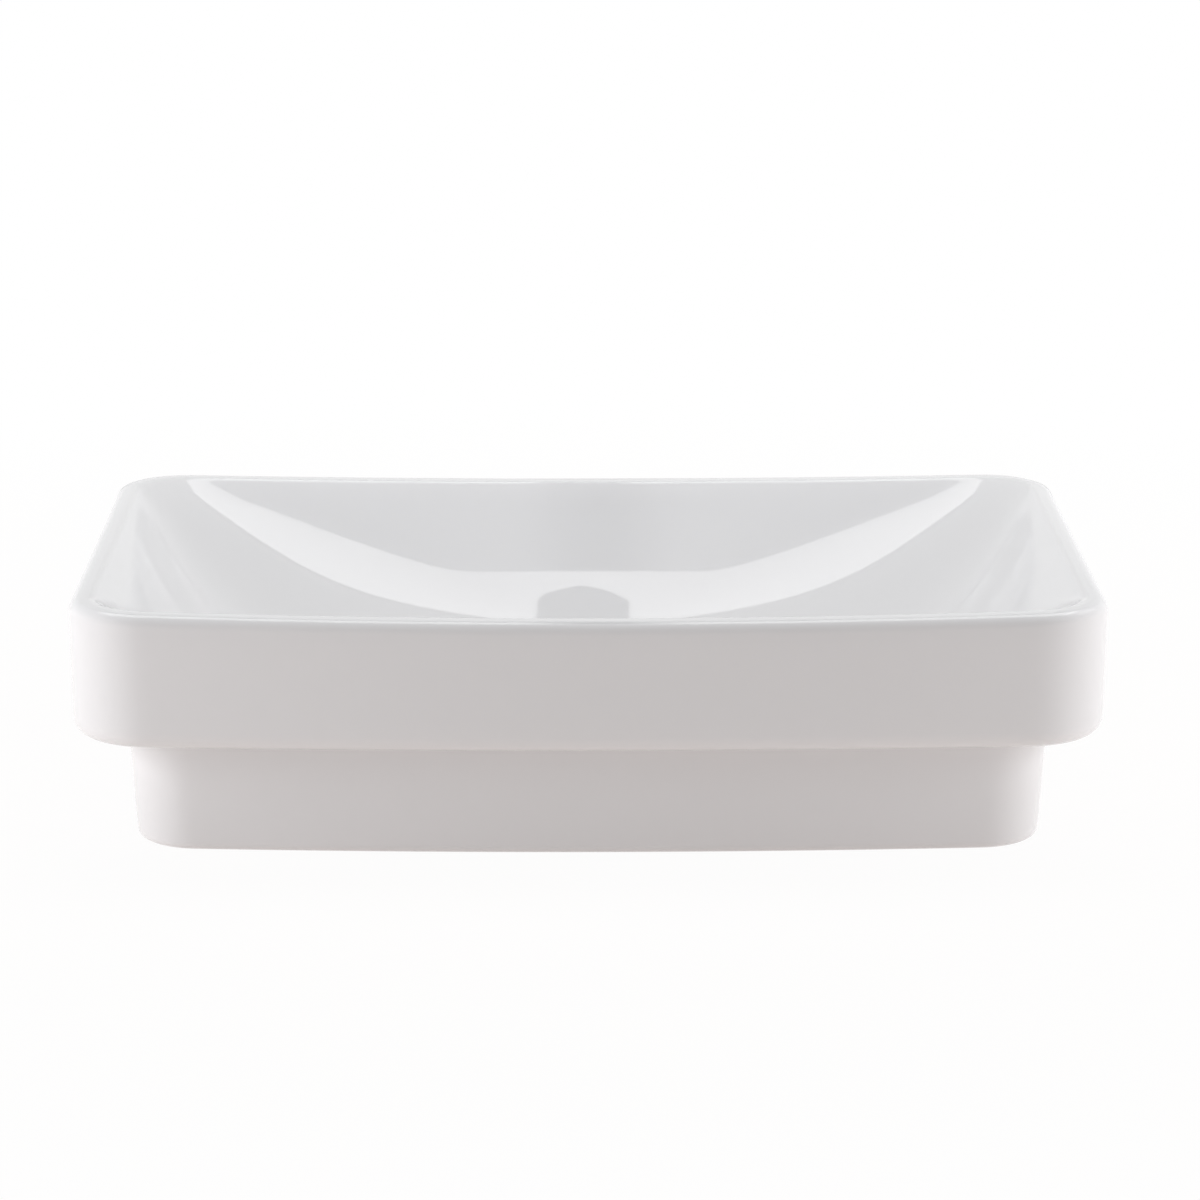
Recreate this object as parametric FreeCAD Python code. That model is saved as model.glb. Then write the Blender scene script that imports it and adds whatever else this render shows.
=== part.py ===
import FreeCAD, Part
import math
import os
from FreeCAD import Vector

# A semi recessed wash basin in glazed ceramic, with its push-button waste.
# Millimetres, +Z up. The origin is the middle of the basin's box, on the base it stands on.
# +X is along the basin's width, and its bowed front looks towards -Y.

# --- Basin, outer form ---
basin_width = 600.0
basin_depth = 400.0
basin_height = 150.0
lower_height = 69.0          # from the base up to the ledge that lies on the worktop
ledge_width = 31.0           # how far the upper block stands out over the lower one
corner_radius = 46.0         # plan corners of the upper block
lower_corner_radius = 36.0   # plan corners of the lower block
front_bow = 8.0              # the front swells out by this much between its corners
upper_draft = 1.0            # taper of the upper block's walls
lower_draft = 3.8            # taper of the lower block's walls
rim_dip = 3.5                # the rim is this much lower at the middle of its long sides
rim_outer_round = 7.0
ledge_outer_round = 11.0
foot_round = 5.0

# --- Bowl ---
rim_width = 13.0
rim_inner_round = 5.0
floor_height = 55.0          # the bowl's lowest point, above the base
bowl_corner_radius = 34.0    # plan corners of the bowl at the rim
end_fullness = 4.0           # exponent of the bowl's profile along its width
side_fullness = 3.0          # exponent of the bowl's profile along its depth

# --- Ceramic ---
outer_wall = 11.0
bowl_wall = 9.0
floor_thickness = 10.0
ledge_thickness = 10.0
rim_core = 32.0              # solid ceramic below the rim, above the hollow
recess_depth = 6.0           # round recess that the waste's flange lies in
recess_gap = 1.5
recess_round = 4.0
boss_thickness = 13.0        # ceramic that the waste clamps
boss_radius = 40.0
drain_radius = 23.0

# --- Waste: body, seals and nut ---
thread_radius = 20.955       # G 1 1/4 pipe thread, major radius
thread_gap = 0.1
waste_bore = 17.5
tail_length = 15.5           # thread left free below the nut, for the trap
tail_chamfer = 1.0
flange_radius = 31.5
flange_thickness = 3.5
flange_edge_round = 1.2
dish_radius = 26.0           # shallow dish in the flange's top face
dish_depth = 1.9
throat_radius = 19.0         # where the dish meets the throat above the bore
throat_depth = 6.0
flange_seal_thickness = 1.5
flange_seal_inset = 1.0      # the seal ends this far inside the flange
cone_seal_thickness = 6.0
cone_seal_radius = 31.0
cone_seal_taper = 2.0
cone_nose_height = 3.0
cone_nose_gap = 0.3
slip_washer_thickness = 1.5
slip_washer_radius = 29.5
nut_thickness = 9.0
nut_flats = 54.0
nut_chamfer = 1.5

# --- Waste: bridge and cartridge ---
bridge_drop = 24.0           # from the flange's top face down to the bridge's top face
bridge_height = 6.0
bridge_boss_wall = 3.2
rib_count = 4
rib_width = 3.0
cartridge_radius = 7.6
cartridge_bore = 6.0
cartridge_gap = 0.1
cartridge_head = 8.0         # how far the cartridge stands up above its collar
cartridge_top_wall = 2.7
collar_wall = 2.7
collar_height = 2.5
collar_seal_thickness = 0.8
end_cap_plug = 2.0
end_cap_lip = 1.5
guide_count = 4
guide_width = 2.0
guide_depth = 0.7

# --- Waste: plug and click mechanism, drawn with the plug up ---
plug_travel = 9.0
closed_gap = 0.2             # between the plug's seal and the flange, with the plug down
cap_radius = 33.0
cap_edge = 1.6
cap_rise = 6.5
cap_skin = 2.0
cap_edge_round = 0.6
cap_boss_radius = 5.2
cap_boss_length = 5.0
cap_hole_depth = 6.0
seal_width = 3.6
seal_land = 2.2              # metal each side of the groove that holds the plug's seal
seal_height = 2.4
seal_proud = 1.0
stem_radius = 2.9
stem_gap = 0.05              # round the stem where it is fixed
running_gap = 0.3            # round and above what moves
plunger_height = 5.0
plunger_socket = 3.0
key_gap = 0.15
ratchet_height = 5.0
tooth_height = 2.0
ratchet_gap = 0.1
spring_wire = 0.9
spring_radius = 4.7
spring_turns = 7.0
spring_reserve = 1.5         # room left between the coils with the plug down

# --- Places that follow from the sizes ---
half_width = basin_width / 2
half_depth = basin_depth / 2
seat_z = floor_height - recess_depth
boss_z = seat_z - boss_thickness
flange_z = seat_z + flange_seal_thickness
flange_top_z = flange_z + flange_thickness
washer_z = boss_z - cone_seal_thickness
nut_top_z = washer_z - slip_washer_thickness
nut_z = nut_top_z - nut_thickness
tail_z = nut_z - tail_length
bridge_top_z = flange_top_z - bridge_drop
bridge_z = bridge_top_z - bridge_height
collar_z = bridge_top_z + collar_seal_thickness
cartridge_top_z = collar_z + collar_height + cartridge_head
cartridge_roof_z = cartridge_top_z - cartridge_top_wall
plunger_top_z = cartridge_roof_z - running_gap
plunger_z = plunger_top_z - plunger_height
ratchet_z = plunger_z - ratchet_gap - ratchet_height
spring_closed = (spring_turns + 1) * spring_wire + spring_reserve
spring_z = ratchet_z - plug_travel - spring_closed
cartridge_z = spring_z - end_cap_plug
cap_z = flange_top_z + closed_gap + seal_proud + plug_travel
stem_z = plunger_top_z - plunger_socket
stem_top_z = cap_z - cap_boss_length + cap_hole_depth

CENTRE = Vector(0, 0, 0)
UP = Vector(0, 0, 1)
SECTIONS = 9                 # level sections that shape the bowl
QUARTER_POINTS = 20          # points in each quarter of a section
LAST_SHARE = 0.1             # size of the bowl's last section, as a share of the rim's
OVERRUN = 8.0                # how far a cutting shape runs on past what it cuts


def save(name, shape):
    """Write one named piece."""
    shape.exportStep("parts/" + name + ".step")


# --- Shared shapes ---

def tray_outline(inset, radius, z):
    """The basin's plan outline: bowed front, straight back and ends, round corners."""
    side = half_width - inset
    back = half_depth - inset
    chord = side - radius
    front_radius = (chord ** 2 + front_bow ** 2) / (2 * front_bow)
    front_centre = Vector(0, front_radius - back, z)
    corner_y = front_centre.y - math.sqrt((front_radius - radius) ** 2 - chord ** 2)
    right = Vector(chord, corner_y, z)
    left = Vector(-chord, corner_y, z)
    towards_right = (right - front_centre).normalize()
    front_right = front_centre + towards_right * front_radius
    front_left = Vector(-front_right.x, front_right.y, z)
    half_turn = (towards_right + Vector(1, 0, 0)).normalize() * radius
    diagonal = radius / math.sqrt(2)
    back_y = back - radius
    edges = [
        Part.Arc(front_left, Vector(0, -back, z), front_right),
        Part.Arc(front_right, right + half_turn, Vector(side, corner_y, z)),
        Part.LineSegment(Vector(side, corner_y, z), Vector(side, back_y, z)),
        Part.Arc(Vector(side, back_y, z), Vector(chord + diagonal, back_y + diagonal, z),
                 Vector(chord, back, z)),
        Part.LineSegment(Vector(chord, back, z), Vector(-chord, back, z)),
        Part.Arc(Vector(-chord, back, z), Vector(-chord - diagonal, back_y + diagonal, z),
                 Vector(-side, back_y, z)),
        Part.LineSegment(Vector(-side, back_y, z), Vector(-side, corner_y, z)),
        Part.Arc(Vector(-side, corner_y, z), left + Vector(-half_turn.x, half_turn.y, 0),
                 front_left),
    ]
    return Part.Wire([edge.toShape() for edge in edges])


def tray_block(low, high):
    """A tapered block between two outlines, each given as (inset, radius, z)."""
    return Part.makeLoft([tray_outline(*low), tray_outline(*high)], True, True)


def turned(corners, rounds=None):
    """A solid turned about the drain's axis, from (radius, height) corners.

    rounds gives the number of a corner its rounding radius.
    """
    rounds = rounds or {}
    stops = []
    for number, (radius, height) in enumerate(corners):
        here = Vector(radius, 0, height)
        before = Vector(corners[number - 1][0], 0, corners[number - 1][1])
        after_corner = corners[(number + 1) % len(corners)]
        after = Vector(after_corner[0], 0, after_corner[1])
        size = rounds.get(number)
        if size is None:
            stops.append([here])
            continue
        back_way = (before - here).normalize()
        on_way = (after - here).normalize()
        half_angle = back_way.getAngle(on_way) / 2
        middle_way = (back_way + on_way).normalize()
        setback = size / math.tan(half_angle)
        middle = here + middle_way * (size / math.sin(half_angle) - size)
        stops.append([here + back_way * setback, middle, here + on_way * setback])
    edges = []
    for number, stop in enumerate(stops):
        if len(stop) == 3:
            edges.append(Part.Arc(*stop).toShape())
        following = stops[(number + 1) % len(stops)][0]
        if stop[-1].distanceToPoint(following) > 1e-6:
            edges.append(Part.makeLine(stop[-1], following))
    return Part.Face(Part.Wire(edges)).revolve(CENTRE, UP, 360)


def ring(inner, outer, low, high):
    """A plain turned ring."""
    return turned([(inner, low), (outer, low), (outer, high), (inner, high)])


def rod(radius, low, high):
    """A plain round bar on the drain's axis."""
    return Part.makeCylinder(radius, high - low, Vector(0, 0, low), UP)


def around(shape, count):
    """Copies of a shape, evenly spaced round the drain's axis."""
    copies = []
    for number in range(count):
        copy = shape.copy()
        copy.rotate(CENTRE, UP, 360.0 * number / count)
        copies.append(copy)
    return copies


def edges_between(shape, low, high, inset=0):
    """Edges that lie wholly between two heights and at least an inset inside the basin's box."""
    reach_x = half_width - inset
    reach_y = half_depth - inset
    found = []
    for edge in shape.Edges:
        box = edge.BoundBox
        level = low <= box.ZMin and box.ZMax <= high
        if level and max(-box.XMin, box.XMax) <= reach_x and max(-box.YMin, box.YMax) <= reach_y:
            found.append(edge)
    return found


# --- Basin ---

def bowl_quarter(half_x, half_y, corner_x, corner_y):
    """Evenly spaced points on a quarter of a level section, from the end to the side."""
    elbow = Part.BSplineCurve()
    poles = [Vector(half_x, half_y - corner_y, 0), Vector(half_x, half_y, 0),
             Vector(half_x - corner_x, half_y, 0)]
    elbow.buildFromPolesMultsKnots(poles, (3, 3), (0, 1), False, 2, (1, math.sqrt(0.5), 1))
    edges = [elbow.toShape()]
    if half_y - corner_y > 0.01:
        edges.insert(0, Part.makeLine(Vector(half_x, 0, 0), poles[0]))
    if half_x - corner_x > 0.01:
        edges.append(Part.makeLine(poles[-1], Vector(0, half_y, 0)))
    return Part.Wire(edges).discretize(Number=QUARTER_POINTS + 1)


def bowl_section(share, half_x, half_y, corner, depth):
    """A closed level section, at a share of the rim's half width."""
    sunk = 1 - share ** end_fullness
    roundness = max(sunk, 0)
    reach_x = half_x * share
    reach_y = half_y * share ** (end_fullness / side_fullness)
    corner_x = min(corner + (reach_x - corner) * roundness, reach_x)
    corner_y = min(corner + (reach_y - corner) * roundness, reach_y)
    quarter = bowl_quarter(reach_x, reach_y, corner_x, corner_y)
    right_back = [(point.x, point.y) for point in quarter[:-1]]
    left_back = [(-point.x, point.y) for point in quarter[:0:-1]]
    left_front = [(-x, -y) for x, y in right_back]
    right_front = [(-x, -y) for x, y in left_back]
    height = basin_height - depth * sunk
    points = []
    for x, y in right_back + left_back + left_front + right_front:
        bow = front_bow / half_y * (x / (half_x - corner)) ** 2 if y < 0 else 0
        points.append(Vector(x, y * (1 - bow), height))
    curve = Part.BSplineCurve()
    knots = [float(number) for number in range(len(points) + 1)]
    curve.interpolate(Points=points, PeriodicFlag=True, Parameters=knots)
    quarters = []
    for start in range(0, len(points), QUARTER_POINTS):
        quarters.append(curve.toShape(start, start + QUARTER_POINTS))
    return Part.Wire(quarters)


def bowl_solid(growth, depth):
    """The space inside the bowl, or the shape of its underside when grown by a wall."""
    half_x = half_width - rim_width + growth
    half_y = half_depth - rim_width + growth
    corner = bowl_corner_radius + growth
    above_rim = (1 + OVERRUN / depth) ** (1 / end_fullness)
    sections = [bowl_section(above_rim, half_x, half_y, corner, depth)]
    for number in range(SECTIONS):
        share = 1 + (LAST_SHARE - 1) * number / (SECTIONS - 1)
        sections.append(bowl_section(share, half_x, half_y, corner, depth))
    return Part.makeLoft(sections, True, False)


def dip_tool():
    """What is cut off above the rim, so that its long sides sag a little."""
    reach = half_width + OVERRUN
    roof = basin_height + OVERRUN
    drop = rim_dip * (reach / half_width) ** 2
    end_z = basin_height - rim_dip + drop
    low = Vector(0, 0, basin_height - rim_dip)
    left = Vector(-reach, 0, end_z)
    right = Vector(reach, 0, end_z)
    edges = [
        Part.Arc(left, low, right).toShape(),
        Part.makeLine(right, Vector(reach, 0, roof)),
        Part.makeLine(Vector(reach, 0, roof), Vector(-reach, 0, roof)),
        Part.makeLine(Vector(-reach, 0, roof), left),
    ]
    tool = Part.Face(Part.Wire(edges)).extrude(Vector(0, basin_depth + 2 * OVERRUN, 0))
    tool.translate(Vector(0, -half_depth - OVERRUN, 0))
    return tool


def upper_block():
    """The block that stands on the worktop, rounded at its rim and at its ledge."""
    block = tray_block((upper_draft, corner_radius, lower_height),
                       (0, corner_radius, basin_height))
    block = block.makeFillet(ledge_outer_round,
                             edges_between(block, lower_height - 1, lower_height + 1))
    block = block.cut(dip_tool())
    rim_edges = edges_between(block, basin_height - rim_dip - 1, basin_height + 1)
    return block.makeFillet(rim_outer_round, rim_edges)


def lower_block():
    """The block that goes down through the worktop."""
    block = tray_block((ledge_width + lower_draft, lower_corner_radius, 0),
                       (ledge_width, lower_corner_radius, lower_height))
    return block.makeFillet(foot_round, edges_between(block, -1, 1))


def hollow():
    """The space under the bowl, open at the base, all but the boss round the drain."""
    ledge_top = lower_height + ledge_thickness
    lower = tray_block((ledge_width + lower_draft + outer_wall, lower_corner_radius - outer_wall,
                        -OVERRUN),
                       (ledge_width + outer_wall, lower_corner_radius - outer_wall, ledge_top))
    upper = tray_block((upper_draft + outer_wall, corner_radius - outer_wall, ledge_top),
                       (outer_wall, corner_radius - outer_wall, basin_height - rim_core))
    bowl_depth = basin_height - floor_height
    space = lower.fuse(upper).cut(bowl_solid(bowl_wall, bowl_depth + floor_thickness))
    return space.cut(rod(boss_radius, boss_z, floor_height))


def drain_tool():
    """The drain's hole and the round recess above it."""
    recess_radius = flange_radius + recess_gap
    mouth = recess_radius + recess_round
    hole = rod(drain_radius, boss_z - OVERRUN, floor_height)
    block = rod(mouth, seat_z, floor_height + OVERRUN)
    lip = turned([(recess_radius, seat_z - OVERRUN), (mouth + OVERRUN, seat_z - OVERRUN),
                  (mouth + OVERRUN, floor_height), (recess_radius, floor_height)],
                 {3: recess_round})
    return block.cut(lip).fuse(hole)


def basin_body():
    """The ceramic, in one piece."""
    body = upper_block().fuse(lower_block()).removeSplitter()
    body = body.cut(bowl_solid(0, basin_height - floor_height))
    rim_edges = edges_between(body, basin_height - rim_dip - 1, basin_height + 1, rim_width - 0.5)
    body = body.makeFillet(rim_inner_round, rim_edges)
    body = body.cut(hollow())
    return body.cut(drain_tool())


# --- Waste, where it clamps the ceramic ---

def waste_body():
    """Flange, threaded tube and the bridge that carries the cartridge."""
    shell = turned([(waste_bore, tail_z), (thread_radius - tail_chamfer, tail_z),
                    (thread_radius, tail_z + tail_chamfer), (thread_radius, flange_z),
                    (flange_radius, flange_z), (flange_radius, flange_top_z),
                    (dish_radius, flange_top_z), (throat_radius, flange_top_z - dish_depth),
                    (waste_bore, flange_top_z - throat_depth)],
                   {5: flange_edge_round, 6: flange_edge_round})
    boss_outer = cartridge_radius + cartridge_gap + bridge_boss_wall
    wall_middle = (waste_bore + thread_radius) / 2
    rib = Part.makeBox(wall_middle, rib_width, bridge_height, Vector(0, -rib_width / 2, bridge_z))
    bridge = rod(boss_outer, bridge_z, bridge_top_z).multiFuse(around(rib, rib_count))
    cartridge_hole = rod(cartridge_radius + cartridge_gap, bridge_z, bridge_top_z)
    return shell.fuse(bridge).cut(cartridge_hole).removeSplitter()


def flange_seal():
    """Flat rubber ring between the flange and the ceramic."""
    return ring(thread_radius + thread_gap, flange_radius - flange_seal_inset, seat_z, flange_z)


def cone_seal():
    """Tapered rubber ring whose nose centres the tube in the ceramic's hole."""
    inner = thread_radius + thread_gap
    nose_top = inner + (drain_radius - inner) / 2
    return turned([(inner, washer_z), (cone_seal_radius - cone_seal_taper, washer_z),
                   (cone_seal_radius, boss_z), (drain_radius - cone_nose_gap, boss_z),
                   (nose_top, boss_z + cone_nose_height), (inner, boss_z + cone_nose_height)])


def slip_washer():
    """Thin plastic ring that lets the nut turn without dragging the rubber."""
    return ring(thread_radius + thread_gap, slip_washer_radius, nut_top_z, washer_z)


def backnut():
    """Six-sided nut, chamfered below."""
    corner = nut_flats / math.sqrt(3)
    points = []
    for number in range(7):
        angle = math.radians(60 * number)
        points.append(Vector(corner * math.cos(angle), corner * math.sin(angle), nut_z))
    blank = Part.Face(Part.makePolygon(points)).extrude(Vector(0, 0, nut_thickness))
    rise = corner - nut_flats / 2 + nut_chamfer
    cone = turned([(0, nut_z), (corner - rise, nut_z), (corner, nut_z + rise / math.sqrt(3)),
                   (corner, nut_top_z), (0, nut_top_z)])
    return blank.common(cone).cut(rod(thread_radius + thread_gap, nut_z, nut_top_z))


# --- Waste, cartridge and click mechanism ---

def cartridge_seal():
    """Thin rubber ring under the cartridge's collar."""
    inner = cartridge_radius + cartridge_gap
    return ring(inner, inner + collar_wall - cartridge_gap, bridge_top_z, collar_z)


def cartridge_body():
    """Plastic tube with a collar, a roof that the stem runs through, and guide grooves."""
    outer = cartridge_radius
    collar = outer + collar_wall
    collar_top = collar_z + collar_height
    opening = stem_radius + running_gap
    tube = turned([(cartridge_bore, cartridge_z), (outer, cartridge_z), (outer, collar_z),
                   (collar, collar_z), (collar, collar_top), (outer, collar_top),
                   (outer, cartridge_top_z), (opening, cartridge_top_z),
                   (opening, cartridge_roof_z), (cartridge_bore, cartridge_roof_z)])
    low = plunger_z - plug_travel - running_gap
    groove = Part.makeBox(cartridge_bore + guide_depth, guide_width, cartridge_roof_z - low,
                          Vector(0, -guide_width / 2, low))
    return tube.cut(Part.makeCompound(around(groove, guide_count)))


def cartridge_end_cap():
    """Plug that closes the cartridge and carries the spring."""
    neck = cartridge_bore - cartridge_gap
    bottom = cartridge_z - end_cap_lip
    return turned([(0, bottom), (cartridge_radius, bottom), (cartridge_radius, cartridge_z),
                   (neck, cartridge_z), (neck, spring_z), (0, spring_z)])


def plunger():
    """Keyed piston on the stem's lower end."""
    piston = rod(cartridge_bore - running_gap, plunger_z, plunger_top_z)
    reach = cartridge_bore + guide_depth - key_gap
    width = guide_width - 2 * key_gap
    key = Part.makeBox(reach, width, plunger_height, Vector(0, -width / 2, plunger_z))
    piston = piston.multiFuse(around(key, guide_count))
    return piston.cut(rod(stem_radius + stem_gap, stem_z, plunger_top_z))


def ratchet_ring():
    """Turning ring with sloped teeth, pushed up against the plunger by the spring."""
    outer = cartridge_bore - running_gap
    top = ratchet_z + ratchet_height
    blank = ring(stem_radius + running_gap, outer, ratchet_z, top)
    step = math.radians(360 / (2 * guide_count))
    corner = Vector(2 * outer, 0, top)
    far_corner = Vector(2 * outer * math.cos(step), 2 * outer * math.sin(step), top)
    centre = Vector(0, 0, top)
    drop = Vector(0, 0, -tooth_height)
    gap = Part.Face(Part.makePolygon([centre, corner, far_corner, centre])).extrude(drop)
    return blank.cut(Part.makeCompound(around(gap, guide_count)))


def return_spring():
    """Round wire wound in a helix from the end cap up to the ratchet ring."""
    height = ratchet_z - spring_z - spring_wire
    path = Part.makeHelix(height / spring_turns, height, spring_radius)
    section = Part.Wire(Part.makeCircle(spring_wire / 2, Vector(spring_radius, 0, 0),
                                        Vector(0, 1, 0)))
    coil = Part.Wire(path).makePipeShell([section], True, True)
    coil.translate(Vector(0, 0, spring_z + spring_wire / 2))
    return coil


# --- Waste, plug ---

def plug_cap():
    """Domed cover with a groove for its seal and a boss for the stem."""
    top = cap_z + cap_rise
    dome = cap_rise - cap_edge
    sphere_radius = (cap_radius ** 2 + dome ** 2) / (2 * dome)
    centre = Vector(0, 0, top - sphere_radius)
    outside = rod(cap_radius, cap_z, top).common(Part.makeSphere(sphere_radius, centre))
    outside = outside.makeFillet(cap_edge_round, edges_between(outside, cap_z + cap_edge - 0.1,
                                                               cap_z + cap_edge + 0.1))
    groove_outer = cap_radius - seal_land
    groove_inner = groove_outer - seal_width
    inside = rod(groove_inner - seal_land, cap_z, top)
    inside = inside.common(Part.makeSphere(sphere_radius - cap_skin, centre))
    groove = ring(groove_inner, groove_outer, cap_z, cap_z + seal_height - seal_proud)
    boss_bottom = cap_z - cap_boss_length
    boss = rod(cap_boss_radius, boss_bottom, top - cap_skin / 2)
    hole = rod(stem_radius + stem_gap, boss_bottom, stem_top_z)
    return outside.cut(inside).cut(groove).fuse(boss).cut(hole)


def plug_seal():
    """Rubber ring that closes on the flange."""
    outer = cap_radius - seal_land
    bottom = cap_z - seal_proud
    return ring(outer - seal_width, outer, bottom, bottom + seal_height)


def plug_stem():
    """Bar from the plunger up into the cap."""
    return rod(stem_radius, stem_z, stem_top_z)


os.makedirs("parts", exist_ok=True)
PIECES = [basin_body, waste_body, flange_seal, cone_seal, slip_washer, backnut, cartridge_seal,
          cartridge_body, cartridge_end_cap, plunger, ratchet_ring, return_spring, plug_cap,
          plug_seal, plug_stem]
for piece in PIECES:
    save(piece.__name__, piece())
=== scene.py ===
import bmesh
import bpy
import math
from mathutils import Matrix, Vector


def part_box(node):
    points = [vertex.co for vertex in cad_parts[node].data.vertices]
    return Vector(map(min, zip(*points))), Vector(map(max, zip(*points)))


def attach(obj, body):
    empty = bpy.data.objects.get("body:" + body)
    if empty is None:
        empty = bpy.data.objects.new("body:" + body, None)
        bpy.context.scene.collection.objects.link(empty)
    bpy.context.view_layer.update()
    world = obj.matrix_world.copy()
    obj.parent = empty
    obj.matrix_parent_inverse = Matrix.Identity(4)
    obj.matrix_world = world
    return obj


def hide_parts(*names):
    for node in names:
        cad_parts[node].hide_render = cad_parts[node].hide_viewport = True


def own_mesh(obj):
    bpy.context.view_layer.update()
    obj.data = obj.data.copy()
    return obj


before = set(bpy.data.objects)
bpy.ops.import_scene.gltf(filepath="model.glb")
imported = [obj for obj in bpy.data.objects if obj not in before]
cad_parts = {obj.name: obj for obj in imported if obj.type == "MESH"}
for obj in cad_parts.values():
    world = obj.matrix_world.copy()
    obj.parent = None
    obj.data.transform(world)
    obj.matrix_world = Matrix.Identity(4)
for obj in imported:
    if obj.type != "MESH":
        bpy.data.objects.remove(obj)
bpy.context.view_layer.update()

# --- The basin's sizes, in metres, in the frame's own place ---
LOW_CORNER, HIGH_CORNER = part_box("basin_body")
HAIR = 0.00001              # how far the glaze stays inside the solid's box
HALF_WIDTH = HIGH_CORNER[0] - HAIR
HALF_DEPTH = min(-LOW_CORNER[1], HIGH_CORNER[1]) - HAIR
HEIGHT = HIGH_CORNER[2] - HAIR
LEDGE_Z = 0.069
LEDGE_WIDTH = 0.031
CORNER = 0.046
LOWER_CORNER = 0.036
BOW = 0.008
UPPER_DRAFT = 0.001
LOWER_DRAFT = 0.0038
RIM_DIP = 0.0035
RIM_ROUND = 0.007
LEDGE_ROUND = 0.011
LEDGE_HOLLOW = 0.002
FOOT_ROUND = 0.005
RIM_WIDTH = 0.013
RIM_BLEND = 0.003
FLOOR_Z = 0.055
BOWL_CORNER = 0.034
END_FULLNESS = 4.0
SIDE_FULLNESS = 3.0
WALL = 0.011
BOWL_WALL = 0.009
FLOOR_WALL = 0.010
LEDGE_WALL = 0.010
HOLLOW_TOP = 0.118
SEAT_Z = 0.049
BOSS_Z = 0.036
BOSS_RADIUS = 0.040
DRAIN_RADIUS = 0.023
DRAIN_CHAMFER = 0.0005
RECESS_RADIUS = 0.033
RECESS_ROUND = 0.004
BOSS_ROUND = 0.002
ROOF_BLEND = 0.006
HOLLOW_ROUND = 0.003
LEDGE_ROOF_ROUND = 0.004
FOOT_CHAMFER = 0.0015

# --- The waste's sizes ---
THREAD_RADIUS = 0.020955
THREAD_PITCH = 0.002309
THREAD_DEPTH = 0.0012
THREAD_RUNOUT = 0.003       # plain length between the thread and the flange
TUBE_FIT = THREAD_RADIUS + 0.0001
TUBE_BORE = 0.0175
TAIL_Z = 0.004
FLANGE_Z = 0.0505
FLANGE_TOP_Z = 0.054
FLANGE_RADIUS = 0.0315
BRIDGE_Z = 0.024
BRIDGE_TOP_Z = 0.030
BRIDGE_BORE = 0.0077
BRIDGE_RADIUS = 0.0109
RIB_START = 0.0095
RIB_END = 0.0185
RIB_WIDTH = 0.003
RIB_ROUND = 0.0005
WASHER_Z = 0.030
NUT_Z = 0.0195
NUT_TOP_Z = 0.0285
NUT_CORNER = 0.054 / math.sqrt(3)
NUT_CHAMFER = 0.0015
NUT_ROUND = 0.0003
CAP_Z = 0.0642
CAP_TOP_Z = 0.0707
CAP_RADIUS = 0.033
CAP_WALL = 0.002
CAP_SPHERE = 0.11357
CAP_BOSS_RADIUS = 0.0052
CAP_BOSS_Z = CAP_Z - 0.005
GROOVE_INNER = 0.0272
GROOVE_OUTER = 0.0308
GROOVE_DEPTH = 0.0014
STEM_RADIUS = 0.0029
STEM_FIT = STEM_RADIUS + 0.00005
STEM_TOP_Z = 0.0652
SPRING_Z = 0.0105
SPRING_TOP_Z = 0.0282
SPRING_RADIUS = 0.0047
SPRING_WIRE = 0.0009
SPRING_TURNS = 7

# --- How finely the shapes are drawn ---
QUARTER = 64                # points in a quarter of each level ring
CORNER_SHARE = 2.0          # how much closer they stand in the corners
CORNER_STEPS = 48           # points along a rounded corner, before they are spaced
AROUND = 96                 # points round a turned piece
ROUND_STEPS = 7             # steps in the ceramic's large roundings
FOOT_STEPS = 4
COVE_STEPS = 3
LEDGE_STEPS = 4
WALL_STEPS = 7
LIP_STEPS = 8
BOWL_STEPS = 36
BOWL_SPACING = 0.85         # below 1, the bowl's rings stand closer near the drain
RECESS_STEPS = 4
ROOF_STEPS = 28
SKIRT_STEPS = 8
THREAD_STEPS = 8            # rings in each turn of the thread
COIL_STEPS = 24             # sections in each turn of the spring
WIRE_SIDES = 10


# --- Plan outlines ---

def quarter_path(side, back, corner_x, corner_y, count):
    """Points from (side, 0) round a rounded corner to (0, back), closer in the corner."""
    path = [(side, 0.0)]
    for step in range(CORNER_STEPS + 1):
        turn = math.pi / 2 * step / CORNER_STEPS
        path.append((side - corner_x + corner_x * math.cos(turn),
                     back - corner_y + corner_y * math.sin(turn)))
    path.append((0.0, back))
    lengths = [0.0]
    for number in range(len(path) - 1):
        weight = CORNER_SHARE if 0 < number < len(path) - 2 else 1.0
        lengths.append(lengths[-1] + weight * math.dist(path[number], path[number + 1]))
    points = []
    leg = 0
    for number in range(count):
        goal = lengths[-1] * number / count
        while lengths[leg + 1] < goal:
            leg += 1
        span = lengths[leg + 1] - lengths[leg]
        share = (goal - lengths[leg]) / span if span > 0 else 0.0
        (x0, y0), (x1, y1) = path[leg], path[leg + 1]
        points.append((x0 + (x1 - x0) * share, y0 + (y1 - y0) * share))
    return points, (0.0, back)


def whole_ring(quarter, top):
    """The four quarters of a ring, mirrored from the first one."""
    right_back = quarter
    left_back = [(-x, y) for x, y in [top] + quarter[:0:-1]]
    half = right_back + left_back
    return half + [(-x, -y) for x, y in half]


def bowed(points, depth, corner_start):
    """The front half of a ring, swollen or drawn in so that it follows the bowed front."""
    moved = []
    for x, y in points:
        share = BOW / depth * (x / corner_start) ** 2 if y < 0 else 0.0
        moved.append((x, y * (1 - share)))
    return moved


def tray_ring(inset, corner):
    """The basin's outline, an inset inside its widest one."""
    side = HALF_WIDTH - inset
    back = HALF_DEPTH - inset
    quarter, top = quarter_path(side, back, corner, corner, QUARTER)
    return bowed(whole_ring(quarter, top), back, side - corner)


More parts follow.
